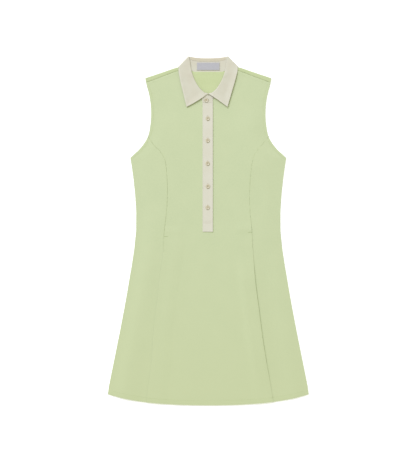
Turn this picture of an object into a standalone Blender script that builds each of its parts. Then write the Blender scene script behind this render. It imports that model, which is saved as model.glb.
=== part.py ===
"""A sleeveless polo dress in double knit, laid flat on its back and face up.

Millimetres in the tables, metres in the scene. +X is the right of the picture, +Y runs to the collar and +Z
up from the table. Left and right are the wearer's, so the left side panel lies at +X. The layers lie on each
other one cloth apart: the back, the front panels, the placket, and at the neck the collar leaf, which starts
below the back, folds at both sides of the neck and ends on top of the front.
"""

import math
from collections import namedtuple

import bmesh
import bpy
from mathutils import Vector

MM = 0.001

# Cloth and layers
CLOTH = 1.2
GAP = 0.3
SHARP = math.radians(40)
LAYER = CLOTH + GAP
HALF = CLOTH / 2
BACK_Z = HALF
FRONT_Z = BACK_Z + LAYER
UPPER_Z = FRONT_Z + LAYER
FOLD_R = LAYER / 2

# Body
BOTTOM_Y = -462.7
HEM_RISE = 29.2
HEM_HALF = 266.0
HEM_EASE = 150.0
HEM_ROUND = 0.55
UNDERARM_Y = 193.2
FAN_Y = 250.0
TIP_Y = 404.4
NECK_X = 73.5
STRIP_AT_TIP = 11.0
STRIP_AT_NECK = 7.5
STRIP_STEPS = (0.5, 1.0)

# Pleats of the skirt
PLEAT_DEPTH = 26.0
PLEAT_SHELF = 3.0
PLEAT_SLOPE = 22.0
TACK_RISE = 24.0
TACK_LEVEL = 4.0
RETURN_START = 34.0
RETURN_SHORT = 2.0
RETURN_LEAD = 16.0
WIDTH_RAMP = 30.0
PLEAT_COLUMNS = (0.0, 14.0, 29.0, 36.5, 44.0, 51.5)
BODICE_FROM = 120.0

# Placket, buttons and label
PLACKET_LEFT = -15.0
PLACKET_RIGHT = 12.2
PLACKET_LAP = 2.0
PLACKET_BOTTOM = -2.9
SLOT_BOTTOM = 2.0
NECK_SEAM_Y = 338.5
UNDER_TOP_Y = 348.6
BUTTON_R = 5.5
BUTTON_EDGE = 0.5
BUTTON_RIM = 1.2
BUTTON_THICK = 2.0
BUTTON_DISH = 0.5
BUTTON_STEPS = 18
LABEL_HALF = 30.0
LABEL_LOW = 425.0
LABEL_HIGH = 445.2
LABEL_CLOTH = 1.0

# Collar
RING_Z = BACK_Z + 1.5 * LAYER
LEAF_TOP_Z = BACK_Z + 3 * LAYER
LEAF_LOFT = 0.5
TAIL_FRONT = 4.0
TAIL_FOLD = 6.0
TAIL_BACK = 8.0
CORNER = Vector((50.8, 460.2))
FOLD_END = Vector((78.4, 432.2))
STAND_ON_FOLD = 34.0
LEAF_BACK_Y = 412.0
LEAF_BACK_POWER = 2.2
NECK_BACK_Y = 422.4
NECK_BACK_FLAT = 45.0
NECK_BACK_RISE = 9.5
LIFT_MARGIN = 3.0
LIFT_SLOPE = 32.0
ROLL_STEPS = 5
FOLD_STEPS = 6
LEAF_STEPS = (0.16, 0.4, 0.7, 1.0)
STAND_STEPS = (0.0, 0.5, 1.0)


def table(columns, *rows):
    """Rows of numbers under named columns."""
    row = namedtuple("row", columns)
    return [row(*numbers) for numbers in rows]


# Half the body's width: the side seam up to the underarm at 193, and the armhole above it
SILHOUETTE = table(
    "y half_width",
    (-433.5, 266.1), (-421.6, 265.1), (-342.1, 249.1), (-262.6, 233.2), (-183.1, 218.2),
    (-130.1, 209.2), (-77.1, 200.2), (-24.1, 193.1), (15.6, 190.5), (55.4, 191.1),
    (108.4, 194.9), (161.4, 201.4), (193.2, 206.4), (203.8, 195.3), (214.4, 183.4),
    (235.6, 167.0), (256.8, 157.4), (288.6, 152.4), (315.1, 151.4), (341.6, 153.4),
    (362.8, 157.2), (384.0, 163.0), (404.4, 167.2),
)

# Shoulder fold: its outer edge, from the armhole to the neck under the collar
SHOULDER = table("x y", (167.2, 404.4), (120.0, 420.1), (86.0, 431.7), (78.4, 433.0), (70.0, 433.2))

# Neck edge of the front, from the shoulder to the placket
FRONT_NECK = table("x y", (73.5, 428.0), (60.0, 407.0), (50.0, 389.0), (40.0, 372.5), (28.0, 358.5), (10.2, 347.4))

# Princess seam and, below its bar tack, the pleat's visible edge, as distances from the centre line
SEAM_RIGHT = table(
    "y x",
    (-456.0, 163.6), (-422.2, 160.5), (-352.2, 150.7), (-260.8, 144.8), (-216.2, 139.0), (-111.6, 127.1),
    (-67.3, 119.6), (-15.4, 117.8), (50.0, 110.6), (109.7, 108.0), (154.8, 110.4), (187.9, 115.1),
    (209.1, 126.8), (225.8, 143.5), (238.0, 152.3), (249.0, 159.6),
)
SEAM_LEFT = table(
    "y x",
    (-450.2, 172.4), (-428.0, 168.7), (-297.9, 146.4), (-212.3, 135.3), (-138.1, 125.7), (-48.8, 118.3),
    (-4.0, 115.9), (45.0, 111.2), (84.5, 109.3), (121.6, 110.4), (166.7, 114.1), (185.5, 117.5),
    (206.7, 125.7), (230.6, 144.8), (240.0, 152.4), (249.0, 159.6),
)
TACK_RIGHT = -15.4
TACK_LEFT = -4.0

# Collar in front, from the centre to the fold: its visible roll edge, its outer edge and the stand's seam
COLLAR_FRONT = table(
    "roll_x roll_y edge_x edge_y seam_x",
    (0.7, 363.8, 57.5, 327.5, 0.7),
    (8.0, 365.5, 59.0, 334.0, 14.9),
    (10.4, 366.2, 60.0, 338.0, 19.0),
    (20.0, 374.6, 63.4, 352.0, 28.0),
    (28.0, 385.6, 67.8, 370.0, 40.0),
    (35.8, 399.5, 72.2, 388.0, 50.0),
    (43.4, 419.8, 76.2, 407.0, 60.0),
    (47.4, 441.5, 78.8, 421.0, 68.5),
)
COLLAR_STEPS = [k / 2 for k in range(2 * len(COLLAR_FRONT) - 1)]

# Collar at the back, from the fold to the centre
COLLAR_BACK = table(
    "roll_x roll_y edge_x seam_x",
    (45.5, 460.9, 64.0, 59.0), (38.0, 459.6, 50.0, 47.0), (28.5, 458.3, 37.0, 35.0),
    (19.0, 457.6, 25.0, 23.0), (9.5, 457.4, 12.5, 11.0), (0.0, 457.3, 0.0, 0.0),
)

# End of the stand that buttons over the other one at the centre front
STAND_END = table("x top", (12.2, 350.0), (10.8, 354.0), (7.0, 356.6), (3.0, 357.3))
STAND_UNDER_END = table("x top", (12.6, 356.0), (7.0, 356.8), (3.0, 357.3))
UNDER_END_LOW = 349.2
OVER_END_X = 22.0
OVER_END_SLOPE = 20.0
OVER_EDGE_BOW = 1.6
UNDER_EDGE_BOW = -1.0
UNDER_NARROW = 6.5
UNDER_NARROW_POWER = 0.7

# Buttons on the placket, the first one on the stand
BUTTONS = table(
    "x y", (-5.2, 345.6), (-1.2, 297.3), (-1.6, 239.0), (-1.6, 178.1), (-1.0, 117.4), (-1.6, 61.5)
)

SKIRT_ROWS = (
    BOTTOM_Y, -440.0, -410.0, -380.0, -350.0, -320.0, -290.0, -260.0, -230.0, -200.0, -170.0, -140.0, -115.0,
    -95.0, -70.0, -56.0, -46.0, -36.0, -26.0, -18.0, -10.0, -4.0, SLOT_BOTTOM, 12.0, 26.0, 45.0, 70.0, 95.0,
    BODICE_FROM,
)
BODICE_ROWS = (
    140.0, 155.0, 168.0, 180.0, 188.0, UNDERARM_Y, 199.0, 205.0, 211.0, 217.0, 223.0, 230.0, 237.0, 243.0,
)
BACK_ROWS = (
    BOTTOM_Y, -440.0, -400.0, -350.0, -300.0, -250.0, -200.0, -150.0, -100.0, -50.0, 0.0, 50.0, 95.0,
) + BODICE_ROWS
FAN_STEPS = (0.0, 0.06, 0.13, 0.21, 0.3, 0.4, 0.5, 0.6, 0.7, 0.78, 0.85, 0.9, 0.95, 1.0)
SIDE_TOP_Y = 247.5
SIDE_STEPS = (0.0, 0.15, 0.4, 0.65, 0.9, 1.0)
SHOULDER_COLUMNS = (148.0, 130.0, 112.0, 98.0, 84.0, NECK_X)
BACK_NECK_COLUMNS = (59.0, 47.0, 35.0, 23.0, 11.0)


def smooth(t):
    """0 below 0, 1 above 1, and an S curve between."""
    t = min(max(t, 0.0), 1.0)
    return t * t * (3 - 2 * t)


def pairs(rows, key, value):
    """Two columns of a table as points, in rising order of the first."""
    return sorted((getattr(row, key), getattr(row, value)) for row in rows)


def curve(points):
    """A smooth function through points in rising order, straight beyond its ends."""

    def slope(k):
        low = points[max(k - 1, 0)]
        high = points[min(k + 1, len(points) - 1)]
        return (high[1] - low[1]) / (high[0] - low[0])

    def at(t):
        k = sum(point[0] <= t for point in points[1:-1])
        (x0, y0), (x1, y1) = points[k], points[k + 1]
        span = x1 - x0
        s = (t - x0) / span
        if s < 0:
            return y0 + slope(0) * (t - x0)
        if s > 1:
            return y1 + slope(len(points) - 1) * (t - x1)
        ease = s * s * (3 - 2 * s)
        lead_in = s * (1 - s) ** 2 * slope(k)
        lead_out = s * s * (1 - s) * slope(k + 1)
        return y0 + ease * (y1 - y0) + span * (lead_in - lead_out)

    return at


def corner_curve(points, corner):
    """Two smooth curves that meet in a sharp corner at one of the points."""
    low = curve([point for point in points if point[0] <= corner])
    high = curve([point for point in points if point[0] >= corner])
    return lambda t: low(t) if t <= corner else high(t)


def collar_column(name):
    """A column of the front collar's table, read smoothly at steps between its rows."""
    return curve([(k, getattr(row, name)) for k, row in enumerate(COLLAR_FRONT)])


half_width = corner_curve(pairs(SILHOUETTE, "y", "half_width"), UNDERARM_Y)
shoulder_edge = curve(pairs(SHOULDER, "x", "y"))
front_neck_edge = curve(pairs(FRONT_NECK, "x", "y"))
collar_seam_x = collar_column("seam_x")
SEAMS = {-1: curve(pairs(SEAM_RIGHT, "y", "x")), 1: curve(pairs(SEAM_LEFT, "y", "x"))}
TACKS = {-1: TACK_RIGHT, 1: TACK_LEFT}
SLOT = {-1: -(PLACKET_LEFT + PLACKET_LAP), 1: PLACKET_RIGHT - PLACKET_LAP}
FRONT_NECK_COLUMNS = tuple(collar_seam_x(step) for step in reversed(COLLAR_STEPS) if step >= 1)


def back_neck_edge(x):
    return NECK_BACK_Y + NECK_BACK_RISE * smooth((abs(x) - NECK_BACK_FLAT) / (NECK_X - NECK_BACK_FLAT))


def leaf_back_edge(x):
    """Lower edge of the collar leaf below the back."""
    rise = FOLD_END.y - LEAF_BACK_Y
    return LEAF_BACK_Y + rise * (min(abs(x) / FOLD_END.x, 1.0)) ** LEAF_BACK_POWER


def lift(x, y):
    """How high the collar leaf below the back lifts the cloth that lies on it."""
    beside = max(abs(x) - FOLD_END.x, 0.0)
    below = max(leaf_back_edge(x) - y, 0.0)
    away = math.hypot(beside, below) - LIFT_MARGIN
    return LAYER * (1 - smooth(away / LIFT_SLOPE))


def hem_y(x, y):
    """Height of a row's point: the hem curves up to the side seams, and the rows above it ease out of that."""
    share = abs(x) / HEM_HALF
    curved = HEM_RISE * (HEM_ROUND * share**2 + (1 - HEM_ROUND) * share**4)
    return y + curved * (1 - smooth((y - BOTTOM_Y) / HEM_EASE))


def at_hem_height(edge, y):
    """The edge's distance from the centre, read at the height to which the hem's curve carries it."""
    return edge(hem_y(edge(y), y))


def seam_gap(edge, y):
    """Half the seam's gap, measured along X on an edge that slants."""
    step = 1.0
    slant = (edge(y + step) - edge(y - step)) / (2 * step)
    return GAP / 2 * math.hypot(1.0, slant)


def strip_width(x):
    """Width of the back's strip that lies on the front below the shoulder fold."""
    share = (abs(x) - NECK_X) / (half_width(TIP_Y) - NECK_X)
    return STRIP_AT_NECK + (STRIP_AT_TIP - STRIP_AT_NECK) * share


def shoulder_fold(x):
    """Centre of the shoulder's fold, one fold and half a cloth inside its outer edge."""
    return shoulder_edge(abs(x)) - FOLD_R - HALF


def pleat_rise(side, x, y):
    """How far a pleat's two inner layers lift the centre panel that lies on them."""
    tack = TACKS[side]
    inside = at_hem_height(SEAMS[side], y) - abs(x)
    over = 1 - smooth((inside - PLEAT_DEPTH - PLEAT_SHELF) / PLEAT_SLOPE)
    first = smooth((tack + TACK_LEVEL + TACK_RISE - y) / TACK_RISE)
    second = smooth((tack - y) / (RETURN_START - TACK_LEVEL))
    return LAYER * (first + second) * over


def centre_z(x, y, row_y):
    side = -1 if x < 0 else 1
    return FRONT_Z + lift(x, y) + pleat_rise(side, x, row_y)


def pleat_width(side, y):
    """Width of the side panel's underlay below the centre panel."""
    return PLEAT_DEPTH * smooth((TACKS[side] - y) / WIDTH_RAMP)


def is_folded(side, y):
    """Whether the centre panel's pleat edge is folded under at this height."""
    return y <= TACKS[side] - RETURN_START


def principled(name, colour, roughness):
    material = bpy.data.materials.new(name)
    material.use_nodes = True
    shader = material.node_tree.nodes["Principled BSDF"]
    shader.inputs["Base Color"].default_value = (*colour, 1.0)
    shader.inputs["Roughness"].default_value = roughness
    shader.inputs["Metallic"].default_value = 0.0
    return material


def add_object(name, shape, material):
    mesh = bpy.data.meshes.new(name)
    shape.to_mesh(mesh)
    shape.free()
    mesh.materials.append(material)
    mesh.shade_smooth()
    mesh.set_sharp_from_angle(angle=SHARP)
    thing = bpy.data.objects.new(name, mesh)
    bpy.context.scene.collection.objects.link(thing)
    return thing


def add_cloth(name, grid, material, present=None, thickness=CLOTH):
    """A closed wall of cloth round a grid of mid-surface points, leaving out the cells that aren't present."""
    shape = bmesh.new()
    verts = {}
    for i in range(len(grid) - 1):
        for j in range(len(grid[0]) - 1):
            if present and not present(i, j):
                continue
            corners = ((i, j), (i, j + 1), (i + 1, j + 1), (i + 1, j))
            for key in corners:
                if key not in verts:
                    verts[key] = shape.verts.new(Vector(grid[key[0]][key[1]]) * MM)
            shape.faces.new([verts[key] for key in corners])
    cloth = add_object(name, shape, material)
    wall = cloth.modifiers.new("cloth wall", "SOLIDIFY")
    wall.thickness = thickness * MM
    wall.offset = 0.0
    wall.use_even_offset = True
    return cloth


def box_grid(left, right, low, high, z):
    """Four corners of a flat rectangular piece."""
    return [[(left, y, z), (right, y, z)] for y in (low, high)]


def back_grid():
    """The back from hem to neck, with the strips that fold over the shoulders to the front."""
    fold_y = TIP_Y - FOLD_R - HALF
    tip = half_width(fold_y)
    half = (tip,) + SHOULDER_COLUMNS + BACK_NECK_COLUMNS
    tops = [-x for x in half] + [0.0] + list(reversed(half))
    grid = []
    for row_y in BACK_ROWS:
        wide = at_hem_height(half_width, row_y)
        row = []
        for top in tops:
            x = top / tip * wide
            y = hem_y(x, row_y)
            row.append((x, y, BACK_Z + lift(x, y)))
        grid.append(row)
    for share in FAN_STEPS:
        wide = half_width(FAN_Y + (fold_y - FAN_Y) * share)
        row = []
        for top in tops:
            x = top / tip * wide
            high = shoulder_fold(top) if abs(top) >= NECK_X else back_neck_edge(top)
            y = FAN_Y + (high - FAN_Y) * share
            row.append((x, y, BACK_Z + lift(x, y)))
        grid.append(row)
    on_back = len(grid)
    for step in range(1, FOLD_STEPS + 1):
        turn = math.pi * step / FOLD_STEPS
        row = []
        for x in tops:
            y = shoulder_fold(x)
            up = FOLD_R * (1 - math.cos(turn))
            row.append((x, y + FOLD_R * math.sin(turn), BACK_Z + lift(x, y) + up))
        grid.append(row)
    for share in STRIP_STEPS:
        row = []
        for top in tops:
            y = shoulder_fold(top) - strip_width(top) * share
            outwards = max(abs(top) - NECK_X, 0.0) / (tip - NECK_X)
            x = top + math.copysign(outwards, top) * (half_width(y) - tip)
            y = shoulder_fold(x) - strip_width(x) * share
            row.append((x, y, FRONT_Z + lift(x, y)))
        grid.append(row)

    def present(i, j):
        middle = (tops[j] + tops[j + 1]) / 2
        return i < on_back - 1 or abs(middle) > NECK_X

    return grid, present


def centre_half(side, row_y, share=None):
    """One row of the centre panel from its edge to the placket's slot, as points with x counted outwards."""
    slot = SLOT[side]
    tip_y = shoulder_fold(half_width(TIP_Y)) - STRIP_AT_TIP - GAP
    tip = half_width(tip_y)
    tops = (tip,) + SHOULDER_COLUMNS + FRONT_NECK_COLUMNS + (slot,)
    if share is not None:
        wide = half_width(FAN_Y + (tip_y - FAN_Y) * share)
        points = []
        for top in tops:
            x = slot + (top - slot) / (tip - slot) * (wide - slot)
            if top >= NECK_X:
                high = shoulder_fold(top) - strip_width(top) - GAP
            else:
                high = front_neck_edge(top)
            points.append((x, FAN_Y + (high - FAN_Y) * share))
        return points
    seam = SEAMS[side]
    edge = at_hem_height(seam, row_y) - seam_gap(seam, row_y)
    if is_folded(side, row_y):
        edge = at_hem_height(seam, row_y) - FOLD_R - HALF
    to_bodice = smooth((row_y - BODICE_FROM) / (FAN_Y - BODICE_FROM))
    inner = len(tops) - len(PLEAT_COLUMNS)
    points = []
    for k, top in enumerate(tops):
        if k < len(PLEAT_COLUMNS):
            skirt = edge - PLEAT_COLUMNS[k]
        else:
            start = edge - PLEAT_COLUMNS[-1]
            skirt = start + (slot - start) * (k - len(PLEAT_COLUMNS) + 1) / inner
        bodice = slot + (top - slot) / (tip - slot) * (edge - slot)
        x = skirt + (bodice - skirt) * to_bodice
        points.append((x, hem_y(x, row_y)))
    return points


def pleat_under(side, row_y):
    """The folded edge of a pleat and its return below the centre panel, from the return's end to the fold."""
    edge, y = centre_half(side, row_y)[0]
    top = centre_z(side * edge, y, row_y)
    grown = smooth((TACKS[side] - RETURN_START + RETURN_LEAD - row_y) / WIDTH_RAMP)
    depth = (PLEAT_DEPTH - RETURN_SHORT) * grown
    points = []
    for share in (1.0, 0.5, 0.0):
        x = edge - depth * share
        points.append((side * x, hem_y(x, row_y), top - LAYER))
    for step in range(1, FOLD_STEPS):
        turn = math.pi * step / FOLD_STEPS
        points.append((side * (edge + FOLD_R * math.sin(turn)), y, top - FOLD_R * (1 + math.cos(turn))))
    return points


def centre_grid():
    """The centre panel with the placket's slot, and with each pleat edge folded under."""
    rows = [(y, None) for y in SKIRT_ROWS + BODICE_ROWS]
    rows += [(FAN_Y, share) for share in FAN_STEPS]
    grid = []
    folded = {-1: [], 1: []}
    for row_y, share in rows:
        line = []
        under = {}
        for side in (-1, 1):
            fold = share is None and is_folded(side, row_y)
            folded[side].append(fold)
            half = [(side * x, y, centre_z(side * x, y, row_y)) for x, y in centre_half(side, row_y, share)]
            under[side] = pleat_under(side, row_y) if fold else [half[0]] * (FOLD_STEPS + 2)
            line.append(half)
        low, high = line
        middle = ((low[-1][0] + high[-1][0]) / 2, low[-1][1], low[-1][2])
        grid.append(under[-1] + low + [middle] + high[::-1] + under[1][::-1])
    ends = FOLD_STEPS + 2
    slot_from = ends + 1 + len(SHOULDER_COLUMNS + FRONT_NECK_COLUMNS)
    last = len(grid[0]) - 1

    def present(i, j):
        if j < ends:
            return folded[-1][i] and folded[-1][i + 1]
        if j >= last - ends:
            return folded[1][i] and folded[1][i + 1]
        in_slot = slot_from <= j < slot_from + 2
        return not (in_slot and rows[i][0] >= SLOT_BOTTOM)

    return grid, present


def side_grid(side):
    """A side panel from the princess seam to the side seam, with the underlay of its pleat."""
    seam = SEAMS[side]
    grid = []
    for row_y in SKIRT_ROWS + BODICE_ROWS + (SIDE_TOP_Y,):
        outer = at_hem_height(half_width, row_y)
        inner = at_hem_height(seam, row_y) + seam_gap(seam, row_y) - pleat_width(side, row_y)
        row = []
        for share in SIDE_STEPS:
            x = side * (inner + (outer - inner) * share)
            y = hem_y(x, row_y)
            row.append((x, y, FRONT_Z + lift(x, y)))
        grid.append(row if side > 0 else row[::-1])
    return grid


Section = namedtuple("Section", "roll edge seam up out tail lies over bow")


def flat_normal(points, k):
    """Unit normal of a curve seen from above at one of its points, to the left of its run."""
    before = Vector(points[max(k - 1, 0)])
    after = Vector(points[min(k + 1, len(points) - 1)])
    run = (after - before).normalized()
    return Vector((-run.y, run.x))


def beside_front_neck(x):
    """A point of the stand's seam, one gap inside the front's neck edge."""
    step = 1.0
    slant = (front_neck_edge(x + step) - front_neck_edge(x - step)) / (2 * step)
    return Vector((x, front_neck_edge(x))) + Vector((-slant, 1.0)).normalized() * GAP


def stand_seam(step, over):
    """The stand's seam at a step of the front collar; the steps up to 1 lie on its end at the centre front."""
    seam = beside_front_neck(collar_seam_x(step))
    if over and step <= 1:
        return Vector((collar_seam_x(step), NECK_SEAM_Y + GAP))
    return Vector((seam.x, max(seam.y, UNDER_END_LOW)))


def collar_half(over):
    """Sections of half the collar, from the centre front round the fold to the centre back, on the +X side.

    On the half whose end buttons over the other, the stand comes up one layer towards the centre front. The
    other half's leaf lies a little narrower towards its point.
    """
    along = (FOLD_END - CORNER).normalized()
    aside = Vector((-along.y, along.x))
    roll_x, roll_y, edge_x, edge_y = map(collar_column, ("roll_x", "roll_y", "edge_x", "edge_y"))
    rolls = [(roll_x(step), roll_y(step)) for step in COLLAR_STEPS] + [tuple(CORNER)]
    sections = []
    for k, step in enumerate(COLLAR_STEPS):
        up = flat_normal(rolls, k)
        seam = stand_seam(step, over)
        rise = LAYER * (1 - smooth((seam.x - OVER_END_X) / OVER_END_SLOPE)) if over else 0.0
        roll_r = (LEAF_TOP_Z - FRONT_Z - lift(*rolls[k]) - rise) / 2
        roll = Vector(rolls[k]) - up * (roll_r + HALF)
        tail = TAIL_FRONT + (TAIL_FOLD - TAIL_FRONT) * step / len(COLLAR_FRONT)
        edge = Vector((edge_x(step), edge_y(step)))
        if not over:
            below = (FOLD_END.y - edge.y) / (FOLD_END.y - COLLAR_FRONT[0].edge_y)
            edge.x -= UNDER_NARROW * below**UNDER_NARROW_POWER
        bow = (OVER_EDGE_BOW if over else UNDER_EDGE_BOW) * max(1 - step / 2, 0.0)
        sections.append(Section(roll, edge, seam, up, Vector((0, 0, 1)), tail, "front", rise, bow))
    for step in range(FOLD_STEPS + 1):
        turn = math.pi * step / FOLD_STEPS
        out = Vector((aside.x * math.sin(turn), aside.y * math.sin(turn), math.cos(turn)))
        seam = CORNER + along * STAND_ON_FOLD
        sections.append(Section(CORNER, FOLD_END, seam, -along, out, TAIL_FOLD, "fold", 0.0, 0.0))
    backs = [tuple(CORNER)] + [(row.roll_x, row.roll_y) for row in COLLAR_BACK]
    backs.append((-COLLAR_BACK[-2].roll_x, COLLAR_BACK[-2].roll_y))
    for k, row in enumerate(COLLAR_BACK, start=1):
        up = flat_normal(backs, k) * -1
        roll = Vector((row.roll_x, row.roll_y)) - up * (FOLD_R + HALF)
        edge = Vector((row.edge_x, leaf_back_edge(row.edge_x)))
        seam = Vector((row.seam_x, back_neck_edge(row.seam_x) + GAP))
        tail = TAIL_FOLD + (TAIL_BACK - TAIL_FOLD) * min(k / 3, 1.0)
        sections.append(Section(roll, edge, seam, up, Vector((0, 0, -1)), tail, "back", 0.0, 0.0))
    return sections


def section_points(section):
    """The leaf's points from its tail round the roll to its outer edge, and the stand's points, of one section."""
    in_front = section.lies == "front"
    inner_z = FRONT_Z + (lift(*section.roll) + section.over if in_front else 0.0)
    if section.lies == "fold":
        centre = Vector((*section.roll, RING_Z)) + section.out * LAYER
        roll_r = FOLD_R
    else:
        outer_z = LEAF_TOP_Z if in_front else BACK_Z
        centre = Vector((*section.roll, (inner_z + outer_z) / 2))
        roll_r = abs(outer_z - inner_z) / 2
    up = Vector((*section.up, 0.0))
    to_seam = Vector((*(section.seam - section.roll), 0.0))
    to_edge = Vector((*(section.edge - section.roll), 0.0))
    inner = centre - section.out * roll_r
    outer = centre + section.out * roll_r
    height = to_seam.length

    def on_inner_wall(share):
        point = inner + to_seam * share
        if in_front:
            point.z = FRONT_Z + lift(point.x, point.y) + section.over
        return point

    leaf = [on_inner_wall(section.tail / height)]
    for step in range(ROLL_STEPS + 1):
        turn = math.pi * step / ROLL_STEPS
        leaf.append(centre - section.out * (roll_r * math.cos(turn)) + up * (roll_r * math.sin(turn)))
    aside = Vector((to_edge.y, -to_edge.x, 0.0)).normalized()
    for share in LEAF_STEPS:
        point = outer + to_edge * share + aside * (section.bow * 4 * share * (1 - share))
        if in_front:
            stiff = LEAF_TOP_Z - UPPER_Z - lift(*section.roll)
            loft = stiff + (LEAF_LOFT - stiff) * smooth(share)
            point.z = min(UPPER_Z + lift(point.x, point.y) + loft, LEAF_TOP_Z)
        leaf.append(point)
    start = (section.tail + GAP) / height
    stand = [on_inner_wall(start + (1 - start) * share) for share in STAND_STEPS]
    return leaf, stand


def mirrored(points):
    return [Vector((-p.x, p.y, p.z)) for p in points]


def collar_grids():
    """The leaf from one front end round the back to the other, and the stand with its two overlapping ends."""
    over = [section_points(section) for section in collar_half(True)]
    under = [section_points(section) for section in collar_half(False)]
    leaf = [mirrored(points[0]) for points in over] + [points[0] for points in reversed(under[:-1])]
    stand = [mirrored(points[1]) for points in over] + [points[1] for points in reversed(under[:-1])]
    first = []
    for row in STAND_END:
        low = NECK_SEAM_Y + GAP
        first.append([Vector((row.x, row.top + (low - row.top) * share, UPPER_Z)) for share in STAND_STEPS])
    last = []
    for row in reversed(STAND_UNDER_END):
        low = UNDER_END_LOW
        last.append([Vector((-row.x, row.top + (low - row.top) * share, FRONT_Z)) for share in STAND_STEPS])
    return leaf, first + stand + last


def add_button(name, x, y, material):
    """A flat sew-through button with a raised rim, turned about its own axis."""
    flat = BUTTON_R - BUTTON_EDGE
    inner = BUTTON_R - BUTTON_RIM
    face = BUTTON_THICK - BUTTON_DISH
    profile = [(0.0, 0.0), (flat, 0.0), (BUTTON_R, BUTTON_EDGE), (BUTTON_R, BUTTON_THICK - BUTTON_EDGE)]
    profile += [(flat, BUTTON_THICK), (inner, BUTTON_THICK), (inner - BUTTON_EDGE, face), (0.0, face)]
    shape = bmesh.new()
    verts = [shape.verts.new((radius * MM, 0.0, z * MM)) for radius, z in profile]
    edges = [shape.edges.new(pair) for pair in zip(verts, verts[1:])]
    bmesh.ops.spin(
        shape, geom=verts + edges, cent=(0, 0, 0), axis=(0, 0, 1), angle=math.tau, steps=BUTTON_STEPS, use_merge=True
    )
    bmesh.ops.remove_doubles(shape, verts=shape.verts[:], dist=1e-6)
    bmesh.ops.recalc_face_normals(shape, faces=shape.faces[:])
    button = add_object(name, shape, material)
    button.location = (x * MM, y * MM, (UPPER_Z + HALF + GAP) * MM)
    return button


def main():
    for thing in list(bpy.data.objects):
        bpy.data.objects.remove(thing, do_unlink=True)
    knit = principled("pistachio double knit", (0.59, 0.67, 0.41), 0.85)
    inside = principled("pistachio double knit of the back", (0.59, 0.67, 0.40), 0.85)
    cream = principled("cream collar cloth", (0.71, 0.69, 0.56), 0.8)
    band = principled("cream placket cloth", (0.73, 0.71, 0.60), 0.8)
    woven = principled("grey woven label", (0.49, 0.49, 0.51), 0.6)
    shell = principled("shell button", (0.74, 0.70, 0.60), 0.35)

    grid, present = back_grid()
    add_cloth("back", grid, inside, present)
    grid, present = centre_grid()
    add_cloth("front_centre", grid, knit, present)
    add_cloth("front_side_right", side_grid(-1), knit)
    add_cloth("front_side_left", side_grid(1), knit)

    slot_low = SLOT_BOTTOM + GAP
    under = box_grid(GAP - SLOT[-1], SLOT[1] - GAP, slot_low, UNDER_TOP_Y, FRONT_Z)
    add_cloth("placket_under", under, band)
    upper = box_grid(PLACKET_LEFT, PLACKET_RIGHT, PLACKET_BOTTOM, NECK_SEAM_Y, UPPER_Z)
    add_cloth("placket_upper", upper, band)

    leaf, stand = collar_grids()
    add_cloth("collar_leaf", leaf, cream)
    add_cloth("collar_stand", stand, cream)
    label_z = FRONT_Z + HALF + GAP + LABEL_CLOTH / 2
    label = box_grid(-LABEL_HALF, LABEL_HALF, LABEL_LOW, LABEL_HIGH, label_z)
    add_cloth("neck_label", label, woven, thickness=LABEL_CLOTH)
    for number, row in enumerate(BUTTONS, start=1):
        add_button(f"button_{number}", row.x, row.y, shell)


main()
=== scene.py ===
# %% [markdown]
# # A polo dress, laid flat and seen from straight above
#
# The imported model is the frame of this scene: it gives each piece of the dress its place and its size. The
# cells below give that frame its looks. They make a finer shell of cloth for each panel, with its edges
# rounded, its hems turned and a few soft creases pressed in. Then they sew it with real stitches, dress it in
# knit, twill and shell, and light it as a catalogue would.

import math
from collections import namedtuple

import bmesh
import bpy
from mathutils import Matrix, Vector
from mathutils.bvhtree import BVHTree
from mathutils.kdtree import KDTree


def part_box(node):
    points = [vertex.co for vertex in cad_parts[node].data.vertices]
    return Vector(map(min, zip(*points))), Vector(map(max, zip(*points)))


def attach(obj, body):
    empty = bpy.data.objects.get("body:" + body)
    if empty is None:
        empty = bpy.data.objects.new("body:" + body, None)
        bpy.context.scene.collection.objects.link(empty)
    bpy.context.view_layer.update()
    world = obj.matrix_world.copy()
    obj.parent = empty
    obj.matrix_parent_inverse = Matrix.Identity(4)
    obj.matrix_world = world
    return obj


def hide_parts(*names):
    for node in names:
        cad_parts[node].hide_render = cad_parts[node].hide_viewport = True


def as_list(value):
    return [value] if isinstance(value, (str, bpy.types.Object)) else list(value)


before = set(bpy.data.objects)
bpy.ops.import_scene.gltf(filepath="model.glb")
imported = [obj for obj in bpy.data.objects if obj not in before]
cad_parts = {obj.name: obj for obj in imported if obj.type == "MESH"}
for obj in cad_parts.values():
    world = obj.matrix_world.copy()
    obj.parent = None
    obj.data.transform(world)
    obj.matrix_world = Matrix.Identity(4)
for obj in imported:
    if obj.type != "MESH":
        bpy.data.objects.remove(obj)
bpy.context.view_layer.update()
MM = 0.001
UP = Vector((0, 0, 1))
BODY = "root"
print("nodes:", ", ".join(sorted(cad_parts)))

# %% [markdown]
# ## Camera
#
# A catalogue photo of a flat garment is taken from straight above with a long lens, so that nothing leans.
# One pixel of the 416 by 462 picture stands for 2.65 mm on the dress, and that alone fixes how far away the
# camera is. The lens is long enough for the 6 mm of the layers to show no perspective at all.

# %% Place the camera
PHOTO_HEIGHT_PX = 462
MM_PER_PX = 2.65
VIEW_CENTRE = Vector((-0.66, -0.9, 2.7)) * MM
LENS = 110.0
SENSOR = 36.0
SEES_AS_FAR_AS = 20.0

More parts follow.
